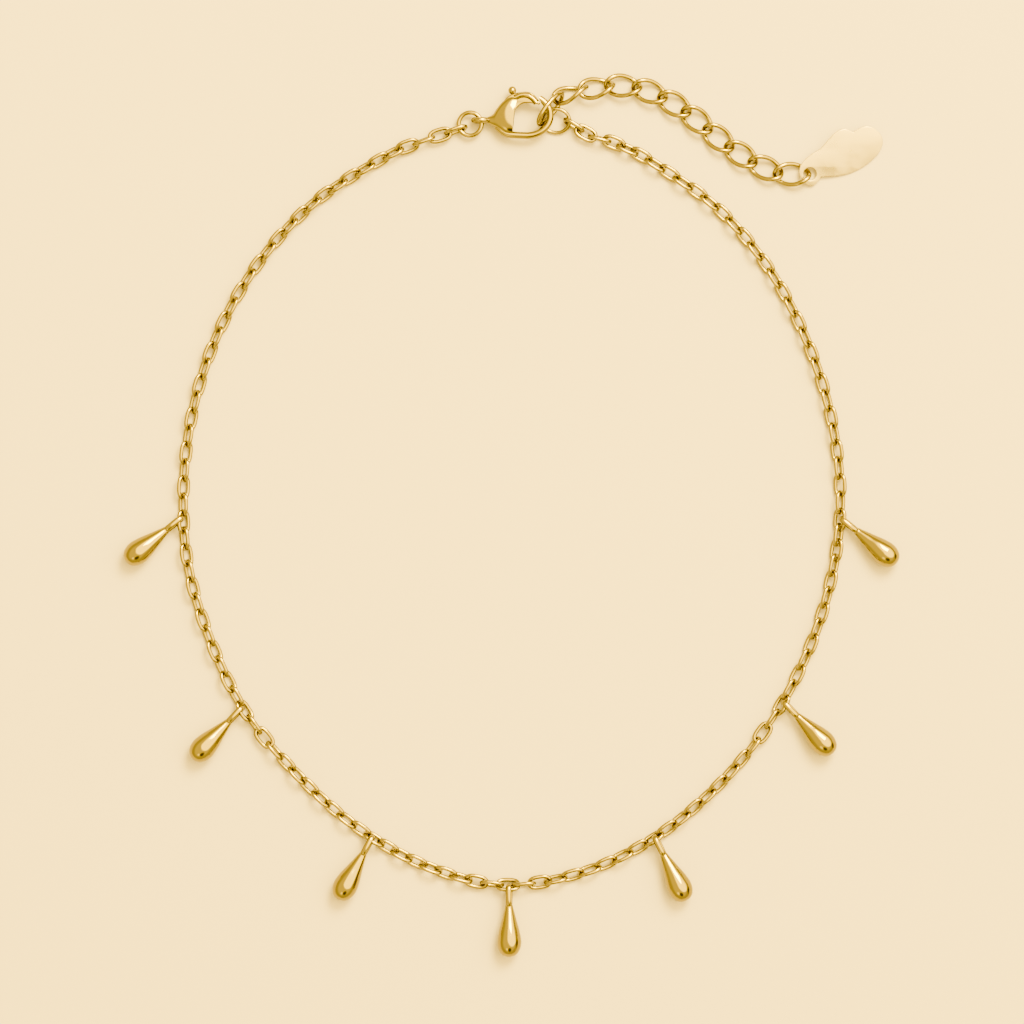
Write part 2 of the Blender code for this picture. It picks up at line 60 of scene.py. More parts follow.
# The chain: 127 elongated cable links of 0.7 mm brass wire, butt soldered and gold plated.
# Alternate links are turned a quarter, and the whole chain lies leaning, so that one kind
# shows its hole and the other stands steeply. Each half's links are one mesh.
CHAIN_ROUTE = [
    (-9.4, 65.1), (-15.5, 63.1), (-21.8, 60.4), (-33.3, 53.0), (-42.6, 43.1),
    (-49.5, 31.4), (-53.9, 18.5), (-55.7, 5.1), (-55.0, -8.4), (-51.2, -21.4),
    (-45.3, -33.5), (-36.7, -44.0), (-26.6, -53.0), (-14.8, -59.7), (-1.8, -63.0),
    (11.6, -61.0), (23.8, -55.3), (34.4, -46.8), (43.2, -36.4), (49.8, -24.6),
    (54.1, -11.7), (55.8, 1.9), (54.4, 15.5), (50.4, 28.6), (44.1, 40.9),
    (35.3, 51.5), (24.1, 59.5), (17.9, 62.7), (13.3, 64.2), (10.45, 65.95),
]
LINK_COUNT = 127
LINK_WIRE = 0.7 * MM
LINK_LENGTH = 4.26 * MM
LINK_WIDTH = 2.66 * MM
LINK_SQUARENESS = 2.8
# The lean of the flat links in degrees at these links. The steep ones add a quarter turn
# to a little less of it.
STEEP_SHARE = 0.85
LEAN = {
    0: -17.6, 4: 40, 43: 40, 47: -40, 59: -40, 61: -20, 62: 21.2, 63: 35, 65: -20, 67: -40,
    79: -40, 83: 40, 122: 40, 126: -17.6,
}
# How far the links are drawn along the chain at these links, in link pitches
PLAY = {
    0: 0.0, 3: 0.1, 7: 0.0, 13: -0.25, 22: -0.2, 31: 0.15, 43: 0.22, 54: 0.26, 63: -0.14,
    66: -0.25, 72: 0.16, 83: 0.4, 87: 0.45, 92: 0.4, 95: 0.17, 98: 0.3, 103: 0.45, 121: 0.5,
    126: 0.0,
}
USUAL_ROLL = 56  # the roll at which most links rest, which sets how high the chain lies
CHAIN_GOLD = "#7F7400"


def smooth_path(points, steps):
    """Points on a smooth curve through the given ones."""
    given = np.array(points, float)
    padded = np.vstack([2 * given[0] - given[1], given, 2 * given[-1] - given[-2]])
    made = []
    for a, b, c, d in zip(padded, padded[1:], padded[2:], padded[3:]):
        for t in np.arange(steps) / steps:
            made.append(0.5 * (2 * b + (c - a) * t + (2 * a - 5 * b + 4 * c - d) * t**2
                               + (3 * b - a - 3 * c + d) * t**3))
    made.append(given[-1])
    return np.array(made)


def placed(place, heading=0.0, pitch=0.0, roll=0.0):
    """A frame whose X axis has that heading and upward pitch, rolled about itself."""
    return (
        Matrix.Translation(SEAT + Vector(place))
        @ Matrix.Rotation(math.radians(heading), 4, "Z")
        @ Matrix.Rotation(math.radians(-pitch), 4, "Y")
        @ Matrix.Rotation(math.radians(roll), 4, "X")
    )


def oval(length, width, count, squareness=2.0, twist=0.0):
    """The middle line of a ring in its XY plane, its ends twisted about X."""
    turn = 2 * np.pi * (np.arange(count) + 0.5) / count
    along, across = np.cos(turn), np.sin(turn)
    x = length / 2 * np.sign(along) * np.abs(along) ** (2 / squareness)
    y = width / 2 * np.sign(across) * np.abs(across) ** (2 / squareness)
    lean = -np.radians(twist) * 2 * x / length
    return np.column_stack([x, y * np.cos(lean), y * np.sin(lean)])


def wire_around(line, wire, sides, closed=True, depth=None):
    """Corners and faces of wire that follows a line near its XY plane, that deep along Z."""
    if closed:
        along = np.roll(line, -1, axis=0) - np.roll(line, 1, axis=0)
    else:
        along = np.gradient(line, axis=0)
    along /= np.linalg.norm(along, axis=1, keepdims=True)
    side = np.cross(along, [0.0, 0.0, 1.0])
    side /= np.linalg.norm(side, axis=1, keepdims=True)
    up = np.cross(side, along)
    turn = 2 * np.pi * np.arange(sides) / sides
    ring = (
        side[:, None] * np.cos(turn)[:, None] * wire
        + up[:, None] * np.sin(turn)[:, None] * (depth or wire)
    )
    corners = (line[:, None] + ring / 2).reshape(-1, 3)
    count = len(line)
    faces = []
    for k in range(count if closed else count - 1):
        for j in range(sides):
            a, b = k * sides, (k + 1) % count * sides
            near, far = j, (j + 1) % sides
            faces.append((a + near, a + far, b + far, b + near))
    if not closed:
        faces.append(tuple(range(sides)))
        faces.append(tuple((count - 1) * sides + j for j in reversed(range(sides))))
    return corners, faces


def moved(corners, place):
    """The corners carried by a 4 by 4 matrix."""
    matrix = np.array(place)
    return corners @ matrix[:3, :3].T + matrix[:3, 3]


def metal_piece(name, shells, material, body, *nodes):
    """One piece of metal from shells of corners and faces, in place of CAD nodes."""
    corners, faces, start = [], [], 0
    for shell_corners, shell_faces in shells:
        corners.append(shell_corners)
        faces += [tuple(start + index for index in face) for face in shell_faces]
        start += len(shell_corners)
    mesh = bpy.data.meshes.new(name)
    mesh.from_pydata(np.vstack(corners).tolist(), [], faces)
    mesh.update()
    mesh.shade_smooth()
    return finished_piece(name, mesh, material, body, *nodes)


def finished_piece(name, mesh, material, body, *nodes):
    """The mesh as a piece in its material, riding its body in place of CAD nodes."""
    mesh.materials.clear()
    mesh.materials.append(material)
    made = bpy.data.objects.new(name, mesh)
    bpy.context.scene.collection.objects.link(made)
    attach(made, body)
    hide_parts(*nodes)
    return made


def linear(colour):
    """An sRGB hex colour as linear light with full alpha."""
    parts = [int(colour[k : k + 2], 16) / 255 for k in (1, 3, 5)]
    return (*((c / 12.92 if c < 0.04045 else ((c + 0.055) / 1.055) ** 2.4) for c in parts), 1.0)


def add_node(tree, kind, settings=None, links=None):
    """Adds a node, sets its sockets or properties and links its inputs."""
    made = tree.nodes.new(kind)
    for key, value in (settings or {}).items():
        if isinstance(key, int) or key in made.inputs:
            made.inputs[key].default_value = value
        else:
            setattr(made, key, value)
    for key, output in (links or {}).items():
        tree.links.new(output, made.inputs[key])
    return made


def gold_plating(name, colour, roughness, mark_size, mark_depth):
    """Gold plated brass: a deep yellow mirror, hazed in patches by the marks of polishing.

    The real marks are a few hundredths of a millimetre, too fine to show, so they are drawn
    at the given size.
    """
    made = bpy.data.materials.new(name)
    made.use_nodes = True
    tree = made.node_tree
    shader = tree.nodes["Principled BSDF"]
    shader.inputs["Base Color"].default_value = linear(colour)
    shader.inputs["Metallic"].default_value = 1.0
    place = add_node(tree, "ShaderNodeTexCoord")
    marks = add_node(
        tree, "ShaderNodeTexNoise",
        {"Scale": 1 / mark_size, "Detail": 3.0, "Roughness": 0.6},
        {"Vector": place.outputs["Object"]},
    )
    haze = add_node(
        tree, "ShaderNodeMapRange",
        {"From Min": 0.35, "From Max": 0.7, "To Min": roughness * 0.7, "To Max": roughness * 1.4},
        {"Value": marks.outputs["Fac"]},
    )
    relief = add_node(
        tree, "ShaderNodeBump", {"Strength": 0.5, "Distance": mark_depth},
        {"Height": marks.outputs["Fac"]},
    )
    tree.links.new(haze.outputs["Result"], shader.inputs["Roughness"])
    tree.links.new(relief.outputs["Normal"], shader.inputs["Normal"])
    return made


chain_path = smooth_path(CHAIN_ROUTE, 40) * MM
chain_run = np.concatenate(
    [[0.0], np.cumsum(np.linalg.norm(np.diff(chain_path, axis=0), axis=1))]
)
link_pitch = chain_run[-1] / (LINK_COUNT - 1)


def chain_at(distance):
    """The place and heading of the chain's middle line, that far from its first link."""
    near = 0.2 * MM
    ends = [
        [np.interp(distance + step, chain_run, chain_path[:, k]) for k in (0, 1)]
        for step in (-near, near)
    ]
    x, y = np.mean(ends, axis=0)
    dx, dy = np.subtract(ends[1], ends[0])
    return x, y, math.degrees(math.atan2(dy, dx))


def link_roll(index):
    """How far the link is rolled about the chain, in degrees."""
    lean = np.interp(index, list(LEAN), list(LEAN.values()))
    return lean if index % 2 else 90 + STEEP_SHARE * lean


def link_place(index, roll):
    """A link's frame: X along the chain, +Y to the inside of the loop."""
    play = np.interp(index, list(PLAY), list(PLAY.values()))
    x, y, heading = chain_at((index + play) * link_pitch)
    across = LINK_WIDTH - LINK_WIRE
    height = across * abs(math.sin(math.radians(roll))) + LINK_WIRE
    usual = across * math.sin(math.radians(USUAL_ROLL)) + LINK_WIRE
    return placed((x, y, max(height, usual) / 2), heading, 0, -roll)


link_line = oval(LINK_LENGTH - LINK_WIRE, LINK_WIDTH - LINK_WIRE, 28, LINK_SQUARENESS)
link_corners, link_faces = wire_around(link_line, LINK_WIRE, 10)
links = [
    (moved(link_corners, link_place(index, link_roll(index))), link_faces)
    for index in range(LINK_COUNT)
]
# Drawn wire, plated: bright lines along each bend, with the draw marks too fine to part
chain_gold = gold_plating("drawn_wire_gold_plated", CHAIN_GOLD, 0.09, 0.3 * MM, 0.002 * MM)
metal_piece("chain_links_left", links[:63], chain_gold, "root", "chain_left")
metal_piece("chain_links_right", links[63:], chain_gold, "root", "chain_right")

# The drops: seven teardrops, cast in brass, tumbled to a mirror polish and gold plated.
# Each has a flattened loop soldered into its thin end, closed round the outer wire of a link.
DROP_LENGTH = 8.9 * MM
DROP_RADIUS = 2.085 * MM
DROP_WIRE = 0.66 * MM
DROP_REACH = 3.6 * MM
DROP_STRAP = 1.0 * MM
LOOP_WIDTH = 1.52 * MM  # across the loop, between the middles of its wire
LOOP_SINK = 0.6 * MM  # how deep the loop is soldered into the drop
LOOP_HOLD = 1.01  # mm from a link's middle line out to where the loop holds it
LOOP_BEYOND = 2.51 * MM  # from there to the drop's thin end
LOOP_LEAN = 8  # degrees that the loop is turned about the drop's length
DROP_GOLD = "#7F7400"
DROP_OUTLINE = [
    (0.00, 0.27), (0.07, 0.36), (0.20, 0.51), (0.34, 0.67), (0.49, 0.85), (0.63, 0.97),
    (0.725, 1.00), (0.83, 0.92), (0.92, 0.72), (0.97, 0.47),
]
DROPS = [
    {"link": 31, "heading": 218.2, "slide": -0.3},
    {"link": 43, "heading": 226.1, "slide": -0.5},
    {"link": 54, "heading": 241.1, "slide": -0.4},
    {"link": 63, "heading": 270.2, "slide": 0.2},
    {"link": 72, "heading": 296.3, "slide": 0.3},
    {"link": 83, "heading": 314.1, "slide": 0.4},
    {"link": 95, "heading": 321.5, "slide": -0.2},
]


def drop_place(drop):
    """The drop's frame: -Z to its tip, hung on its link and resting on the sheet."""
    link = link_place(drop["link"], link_roll(drop["link"]))
    held = link @ Vector((drop["slide"] * MM, -LOOP_HOLD * MM, 0))
    heading = math.radians(drop["heading"])
    low, high = math.radians(-30), math.radians(30)
    for _ in range(40):
        pitch = (low + high) / 2
        aim = Vector((
            math.cos(pitch) * math.cos(heading),
            math.cos(pitch) * math.sin(heading),
            math.sin(pitch),
        ))
        top = held + aim * LOOP_BEYOND
        lowest = min(
            top.z + aim.z * share * DROP_LENGTH - size * DROP_RADIUS * math.cos(pitch)
            for share, size in DROP_OUTLINE
        )
        low, high = (pitch, high) if lowest < 0 else (low, pitch)
    upright = (Vector((0, 0, 1)) - aim * aim.z).normalized()
    upper = Matrix.Rotation(math.radians(LOOP_LEAN), 3, aim) @ upright
    placed_drop = Matrix((upper, (-aim).cross(upper), -aim)).transposed().to_4x4()
    placed_drop.translation = top
    return placed_drop


def turned_body(sides):
    """Corners and faces of the teardrop, turned about its Z axis."""
    outline = smooth_path([(0.0, 0.0)] + DROP_OUTLINE + [(0.99, 0.24)], 4)
    outline = outline[outline[:, 0].argsort(kind="stable")][4:]
    turn = 2 * np.pi * np.arange(sides) / sides
    rings = [
        np.column_stack([
            np.cos(turn) * size * DROP_RADIUS, np.sin(turn) * size * DROP_RADIUS,
            np.full(sides, -share * DROP_LENGTH),
        ])
        for share, size in outline
    ]
    corners = np.vstack(rings + [[[0, 0, -DROP_LENGTH]], [[0, 0, 0]]])
    last = (len(rings) - 1) * sides
    faces = []
    for j in range(sides):
        after = (j + 1) % sides
        for k in range(len(rings) - 1):
            a, b = k * sides, (k + 1) * sides
            faces.append((a + after, a + j, b + j, b + after))
        faces.append((last + after, last + j, len(corners) - 2))
        faces.append((j, after, len(corners) - 1))
    return corners, faces


body_corners, body_faces = turned_body(40)
loop_length = DROP_REACH - DROP_WIRE + LOOP_SINK
loop_line = oval(loop_length, LOOP_WIDTH, 48, 2.6)
loop_corners, loop_faces = wire_around(loop_line, DROP_WIRE, 14, depth=DROP_STRAP)
loop_corners = np.column_stack([
    loop_corners[:, 1], loop_corners[:, 2],
    loop_corners[:, 0] + DROP_REACH - DROP_WIRE / 2 - loop_length / 2,
])
# Cast brass, tumbled and plated: a soft-edged mirror with the slight ripple of the casting
drop_gold = gold_plating("cast_gold_plated_tumbled", DROP_GOLD, 0.1, 1.1 * MM, 0.002 * MM)
for number, drop in enumerate(DROPS, 1):
    place = drop_place(drop)
    shells = [(moved(body_corners, place), body_faces), (moved(loop_corners, place), loop_faces)]
    metal_piece(f"teardrop_{number}", shells, drop_gold, "root", f"drop_{number}")

# The rings: a round jump ring joins the chain's left end to the clasp's eye, and a thinner
# oval ring joins its right end to the extender. Both are bent from wire, closed and plated.
RING_GOLD = "#7F7400"
JUMP_RING_SIZE = 3.92 * MM
JUMP_RING_WIRE = 0.78 * MM
END_RING_LENGTH = 4.74 * MM
END_RING_WIDTH = 4.14 * MM
END_RING_WIRE = 0.66 * MM
jump_place = placed((-7.07 * MM, 66.1 * MM, 1.37 * MM), heading=1, pitch=6, roll=1)
end_place = placed((7.49 * MM, 66.7 * MM, 0.94 * MM), heading=-4, pitch=6.5, roll=16)
# Bent wire, plated: as bright as the chain, in longer lines
ring_gold = gold_plating("bent_wire_gold_plated", RING_GOLD, 0.09, 0.5 * MM, 0.002 * MM)


def wire_ring(name, line, wire, place, node):
    """A closed ring of round wire, bent along the line."""
    corners, faces = wire_around(line, wire, 16)
    return metal_piece(name, [(moved(corners, place), faces)], ring_gold, "root", node)


jump_line = oval(JUMP_RING_SIZE, JUMP_RING_SIZE, 64)
end_line = oval(END_RING_LENGTH, END_RING_WIDTH, 64)
wire_ring("jump_ring_wire", jump_line, JUMP_RING_WIRE, jump_place, "jump_ring")
wire_ring("end_ring_wire", end_line, END_RING_WIRE, end_place, "end_ring")

# The extender: eleven curb links of 0.8 mm wire, each twisted so that the chain lies flat.
# The first is a longer plain link on the end ring, and the clasp is hooked through it.
EXTENDER_POSES = [
    {"x": 6.56, "y": 68.64, "z": 2.22, "heading": 52, "pitch": -11, "roll": 65},
    {"x": 9.95, "y": 71.3, "z": 1.92, "heading": 20, "pitch": 1, "roll": -54},
    {"x": 14.35, "y": 72.25, "z": 1.6, "heading": 11, "pitch": -4, "roll": -28},
    {"x": 18.9, "y": 72.6, "z": 1.31, "heading": -4, "pitch": -2, "roll": -12},
    {"x": 23.45, "y": 71.6, "z": 1.25, "heading": -21, "pitch": -2, "roll": -6},
    {"x": 27.65, "y": 69.5, "z": 1.17, "heading": -31, "pitch": -2, "roll": -3},
    {"x": 31.45, "y": 66.8, "z": 1.1, "heading": -38, "pitch": -1, "roll": -2},
    {"x": 35.1, "y": 63.75, "z": 1.1, "heading": -39, "pitch": 1, "roll": -1},
    {"x": 38.9, "y": 60.95, "z": 1.14, "heading": -33, "pitch": 1, "roll": 0},
    {"x": 43.05, "y": 58.65, "z": 1.15, "heading": -24, "pitch": 1, "roll": 3},
    {"x": 47.55, "y": 57.6, "z": 1.1, "heading": -2, "pitch": 1, "roll": -2},
]
CURB_WIRE = 0.8 * MM
CURB_WIDTH = 3.5 * MM
CURB_LENGTH = 5.9 * MM
CURB_TWIST = 40  # degrees that each end of a link is twisted
CURB_SQUARENESS = 2.1
FIRST_LENGTH = 6.5 * MM
first_line = oval(FIRST_LENGTH, CURB_WIDTH, 64, CURB_SQUARENESS)
curb_line = oval(CURB_LENGTH, CURB_WIDTH, 64, CURB_SQUARENESS, CURB_TWIST)
for number, pose in enumerate(EXTENDER_POSES, 1):
    place = placed(
        (pose["x"] * MM, pose["y"] * MM, pose["z"] * MM),
        pose["heading"], pose["pitch"], pose["roll"],
    )
    line = first_line if number == 1 else curb_line
    node = f"extender_link_{number:02d}"
    wire_ring(f"curb_link_{number:02d}", line, CURB_WIRE, place, node)

# The clasp: a lobster clasp cast in brass with its eye, two domed cheeks and a bow in one
# piece, polished and plated. Its lever, a plate with a rounded arm and a thumb knob, turns on
# a riveted pin between the cheeks. Sizes without a unit are millimetres from the eye.
EYE_HEIGHT, BOW_HEIGHT, CLASP_REACH = 1.55, 2.42, 12.04
CLASP_PITCH = math.degrees(math.asin((BOW_HEIGHT - EYE_HEIGHT) / CLASP_REACH))
CLASP_THICKNESS = 2.7 * MM
CLASP_GOLD = "#7F7400"
PIVOT = (4.17, 0.17)
PIN_RADIUS = 0.4 * MM
BORE = 1.1 * MM
SLOT_HEIGHT = 1.2 * MM
# The cheeks' upper edge, lower edge and half thickness along the clasp, and the line where
# they end at the clasp's mouth, closed round the mouth
CHEEK_UPPER = [
    (1.1, 0.55), (1.5, 0.6), (2.3, 1.05), (3.05, 2.2), (4.0, 3.3), (5.1, 4.0),
    (6.1, 4.1), (7.0, 3.9),
]
CHEEK_LOWER = [(1.1, -0.55), (1.5, -0.6), (2.9, -1.35), (4.4, -2.3), (5.75, -2.5), (7.0, -2.5)]
CHEEK_SWELL = [
    (1.1, 0.5), (1.5, 0.55), (2.3, 0.85), (3.2, 1.2), (4.4, 1.35), (5.4, 1.3),
    (6.1, 1.12), (7.0, 0.8),
]
CHEEK_FRONT = [
    (6.6, 4.8), (6.35, 3.2), (6.0, 1.6), (5.8, -0.2), (5.75, -1.3), (5.6, -3.2),
    (8.5, -3.2), (8.5, 4.8),
]
CHEEK_RINGS = 60
CHEEK_SIDES = 56
CHEEK_ROUNDNESS = 0.86
BOW_WIRE = 1.2 * MM
BOW_MIDDLE = (8.08, 0.77)
BOW_HALF = (3.96, 3.4)
BOW_ROOT = [(5.2, -2.45), (3.9, -1.9), (3.0, -1.0)]
EYE_SIZE = (2.4 * MM, 2.06 * MM)
EYE_WIRE = 1.0 * MM
EYE_FORWARD = 0.2 * MM
LEVER_THICKNESS = 0.9 * MM
LEVER_REACH = 6.88  # the lever's tip passes the bow within this distance of its pivot
LEVER_OUTLINE = [
    (3.25, 0.2), (3.5, 1.9), (4.5, 3.7), (5.6, 4.42), (7.0, 4.75), (8.4, 4.75),
    (9.4, 4.2), (10.0, 3.4), (10.3, 2.7), (9.6, 2.7), (8.5, 2.85), (7.2, 2.7),
    (6.1, 1.7), (5.1, 0.3), (4.2, -0.75),
]
LEVER_ARM = [(6.0, 3.75), (7.1, 4.2), (8.2, 4.15), (9.1, 3.62), (9.75, 2.85)]
ARM_WIDTH, ARM_DEPTH = 1.15 * MM, 1.75 * MM
KNOB_PLACE = (5.58, 5.05)
KNOB_RADIUS = 0.7 * MM
clasp_place = placed((-5.47 * MM, 66.73 * MM, EYE_HEIGHT * MM), 0, CLASP_PITCH)
# Cast brass, polished on a wheel and plated: a broad mirror that blurs a little
clasp_gold = gold_plating("clasp_cast_gold_plated", CLASP_GOLD, 0.1, 0.8 * MM, 0.002 * MM)


def plate(name, outline, thickness, rounding, sharp=(), holes=()):
    """A mesh of a plate with a smooth outline, rounded edges and round holes."""
    curve = bpy.data.curves.new(name, "CURVE")
    curve.dimensions = "2D"
    curve.fill_mode = "BOTH"
    curve.extrude = thickness / 2 - rounding
    curve.bevel_depth = rounding
    curve.bevel_resolution = 4
    curve.offset = -rounding
    curve.resolution_u = 10
    spline = curve.splines.new("BEZIER")
    spline.use_cyclic_u = True
    spline.bezier_points.add(len(outline) - 1)
    for index, (point, (x, y)) in enumerate(zip(spline.bezier_points, outline)):
        point.co = (x * MM, y * MM, 0)
        kind = "VECTOR" if index in sharp else "AUTO"
        point.handle_left_type = point.handle_right_type = kind
    for x, y, diameter in holes:
        ring = curve.splines.new("POLY")
        ring.use_cyclic_u = True
        ring.points.add(39)
        for point, turn in zip(ring.points, np.linspace(0, 2 * np.pi, 41)):
            point.co = (
                x * MM + diameter / 2 * math.cos(turn),
                y * MM + diameter / 2 * math.sin(turn), 0, 1,
            )
    drawn = bpy.data.objects.new(name, curve)
    bpy.context.scene.collection.objects.link(drawn)
    graph = bpy.context.evaluated_depsgraph_get()
    mesh = bpy.data.meshes.new_from_object(drawn.evaluated_get(graph))
    bpy.data.objects.remove(drawn)
    shape = bmesh.new()
    shape.from_mesh(mesh)
    bmesh.ops.remove_doubles(shape, verts=shape.verts, dist=0.0005 * MM)
    bmesh.ops.recalc_face_normals(shape, faces=shape.faces)
    shape.to_mesh(mesh)
    shape.free()
    return mesh


def as_cutter(name, mesh, place):
    """A mesh as a working object at that place."""
    made = bpy.data.objects.new(name, mesh)
    made.matrix_world = place
    bpy.context.scene.collection.objects.link(made)
    return made


def boolean(base, other, operation):
    """Applies a Boolean to the base object's mesh and removes the other object."""
    change = base.modifiers.new("shape", "BOOLEAN")
    change.operation = operation
    change.object = other
    bpy.context.view_layer.update()
    graph = bpy.context.evaluated_depsgraph_get()
    mesh = bpy.data.meshes.new_from_object(base.evaluated_get(graph))
    base.modifiers.clear()
    base.data = mesh
    bpy.data.objects.remove(other)


def shell_mesh(name, shell):
    """A mesh from one shell of corners and faces."""
    mesh = bpy.data.meshes.new(name)
    mesh.from_pydata(shell[0].tolist(), [], shell[1])
    mesh.update()
    return mesh


def basic_mesh(name, maker, **sizes):
    """A mesh of one of the basic solids."""
    shape = bmesh.new()
    maker(shape, **sizes)
    mesh = bpy.data.meshes.new(name)
    shape.to_mesh(mesh)
    shape.free()
    return mesh


def smoothed(mesh, crisp):
    """Shades the mesh smooth, but for edges sharper than that many degrees."""
    mesh.shade_smooth()
    mesh.set_sharp_from_angle(angle=math.radians(crisp))


def worked_mesh(made):
    """The working object's mesh at its place, shaded. The object is removed."""
    mesh = made.data
    mesh.transform(made.matrix_world)
    bpy.data.objects.remove(made)
    smoothed(mesh, 40)
    return mesh


stations = np.linspace(1.2, 6.8, CHEEK_RINGS)
upper = np.interp(stations, *smooth_path(CHEEK_UPPER, 8).T)
lower = np.interp(stations, *smooth_path(CHEEK_LOWER, 8).T)
swell = np.interp(stations, *smooth_path(CHEEK_SWELL, 8).T)
turn = 2 * np.pi * np.arange(CHEEK_SIDES) / CHEEK_SIDES
round_y, round_z = (
    np.sign(f(turn)) * np.abs(f(turn)) ** CHEEK_ROUNDNESS for f in (np.cos, np.sin)
)
cheek_corners = np.vstack([
    np.column_stack([
        np.full(CHEEK_SIDES, x), (high + low) / 2 + (high - low) / 2 * round_y, thick * round_z
    ])
    for x, high, low, thick in zip(stations, upper, lower, swell)
]) * MM
cheek_faces = [
    (start + j, start + after, start + CHEEK_SIDES + after, start + CHEEK_SIDES + j)
    for start in range(0, (CHEEK_RINGS - 1) * CHEEK_SIDES, CHEEK_SIDES)
    for j, after in zip(range(CHEEK_SIDES), [*range(1, CHEEK_SIDES), 0])
]
cheek_faces.append(tuple(reversed(range(CHEEK_SIDES))))
cheek_faces.append(tuple(range(len(cheek_corners) - CHEEK_SIDES, len(cheek_corners))))
cheeks = as_cutter("cheeks", shell_mesh("cheeks", (cheek_corners, cheek_faces)), clasp_place)
front_mesh = plate("front", CHEEK_FRONT, 2 * CLASP_THICKNESS, 0.0, sharp=(0, 5, 6, 7))
boolean(cheeks, as_cutter("front", front_mesh, clasp_place), "DIFFERENCE")
slot_mesh = basic_mesh("slot", bmesh.ops.create_cube, size=1.0)
slot_box = Matrix.Translation((9.9 * MM, 6.0 * MM, 0)) @ Matrix.Diagonal(
    (14 * MM, 14 * MM, SLOT_HEIGHT, 1)
)
boolean(cheeks, as_cutter("slot", slot_mesh, clasp_place @ slot_box), "DIFFERENCE")

bow_arc = [
    (BOW_MIDDLE[0] + BOW_HALF[0] * math.cos(turn), BOW_MIDDLE[1] + BOW_HALF[1] * math.sin(turn))
    for turn in np.radians(np.linspace(58, -90, 38))
]
bow_root = smooth_path([bow_arc[-3], bow_arc[-1], *BOW_ROOT], 6)
bow_line = np.array(bow_arc[:-1] + [tuple(point) for point in bow_root[6:]]) * MM
bow_line = np.column_stack([bow_line, np.zeros(len(bow_line))])
bow_shell = wire_around(bow_line, BOW_WIRE, 20, closed=False)
bow = as_cutter("bow", shell_mesh("bow", bow_shell), clasp_place)
sweep = [PIVOT] + [
    (PIVOT[0] + LEVER_REACH * math.cos(turn), PIVOT[1] + LEVER_REACH * math.sin(turn))
    for turn in np.radians(np.linspace(8, 70, 30))
]
sweep_mesh = plate("sweep", sweep, 2 * BOW_WIRE, 0.0, sharp=range(len(sweep)))
boolean(bow, as_cutter("sweep", sweep_mesh, clasp_place), "DIFFERENCE")
boolean(cheeks, bow, "UNION")
eye_corners, eye_faces = wire_around(oval(*EYE_SIZE, 56), EYE_WIRE, 20)
eye_corners = eye_corners[:, [0, 2, 1]] * [1, -1, 1] + [EYE_FORWARD, 0, 0]
eye = as_cutter("eye", shell_mesh("eye", (eye_corners, eye_faces)), clasp_place)
boolean(cheeks, eye, "UNION")
pin_mesh = basic_mesh(
    "pin", bmesh.ops.create_cone, cap_ends=True, segments=32, radius1=PIN_RADIUS,
    radius2=PIN_RADIUS, depth=CLASP_THICKNESS * 0.8,
)
pin_place = clasp_place @ Matrix.Translation((PIVOT[0] * MM, PIVOT[1] * MM, 0))
boolean(cheeks, as_cutter("pin", pin_mesh, pin_place), "UNION")
finished_piece("clasp_cast", worked_mesh(cheeks), clasp_gold, "root", "clasp_body")

lever_plate = plate(
    "lever", LEVER_OUTLINE, LEVER_THICKNESS, 0.22 * MM, holes=[(*PIVOT, BORE)]
)
lever = as_cutter("lever", lever_plate, clasp_place)
knob_mesh = basic_mesh(
    "knob", bmesh.ops.create_uvsphere, u_segments=28, v_segments=18, radius=KNOB_RADIUS
)
knob_place = clasp_place @ Matrix.Translation((KNOB_PLACE[0] * MM, KNOB_PLACE[1] * MM, 0))
boolean(lever, as_cutter("knob", knob_mesh, knob_place), "UNION")
arm_line = smooth_path(LEVER_ARM, 8) * MM
arm_line = np.column_stack([arm_line, np.zeros(len(arm_line))])
arm = shell_mesh("arm", wire_around(arm_line, ARM_WIDTH, 24, closed=False, depth=ARM_DEPTH))
boolean(lever, as_cutter("arm", arm, clasp_place), "UNION")
finished_piece("clasp_lever_plate", worked_mesh(lever), clasp_gold, "lever", "clasp_lever")

# The tag: a bean shaped blank stamped from thin brass sheet, polished on both faces and
# plated. It hangs on the extender's last link by the round hole in its small lobe.
TAG_GOLD = "#CABE58"
TAG_THICKNESS = 0.45 * MM
TAG_HOLE = 2.3 * MM
TAG_FALL, TAG_LIFT = 0.12, 0.26  # its slope down along its length, and up across
TAG_OUTLINE = [
    (-1.8, 0.85), (-1.25, 2.0), (0.1, 3.3), (1.6, 4.3), (3.0, 5.9), (4.3, 7.25),
    (5.7, 7.75), (7.15, 7.2), (8.1, 7.8), (9.6, 8.25), (11.2, 7.55), (12.25, 5.9),
    (12.0, 4.35), (10.9, 2.85), (9.1, 1.3), (7.0, 0.25), (4.7, -0.3), (1.95, -0.45),
    (1.5, -1.2), (0.4, -2.05), (-0.75, -1.6), (-1.7, -0.3),
]
tag_along = Vector((1, 0, -TAG_FALL)).normalized()
tag_normal = tag_along.cross(Vector((0, 1, TAG_LIFT))).normalized()
tag_place = Matrix((tag_along, tag_normal.cross(tag_along), tag_normal)).transposed().to_4x4()
tag_place.translation = SEAT + Vector((50.6 * MM, 57.7 * MM, 1.05 * MM))
tag_mesh = plate(
    "tag", TAG_OUTLINE, TAG_THICKNESS, 0.09 * MM, sharp=(7, 17), holes=[(0, 0, TAG_HOLE)]
)
tag_mesh.transform(tag_place)
smoothed(tag_mesh, 30)
# Rolled sheet, stamped and plated: satin, so it shows one pale tone and no picture of the room
tag_gold = gold_plating("stamped_sheet_gold_plated", TAG_GOLD, 0.36, 3.0 * MM, 0.01 * MM)
finished_piece("tag_blank", tag_mesh, tag_gold, "root", "tag")

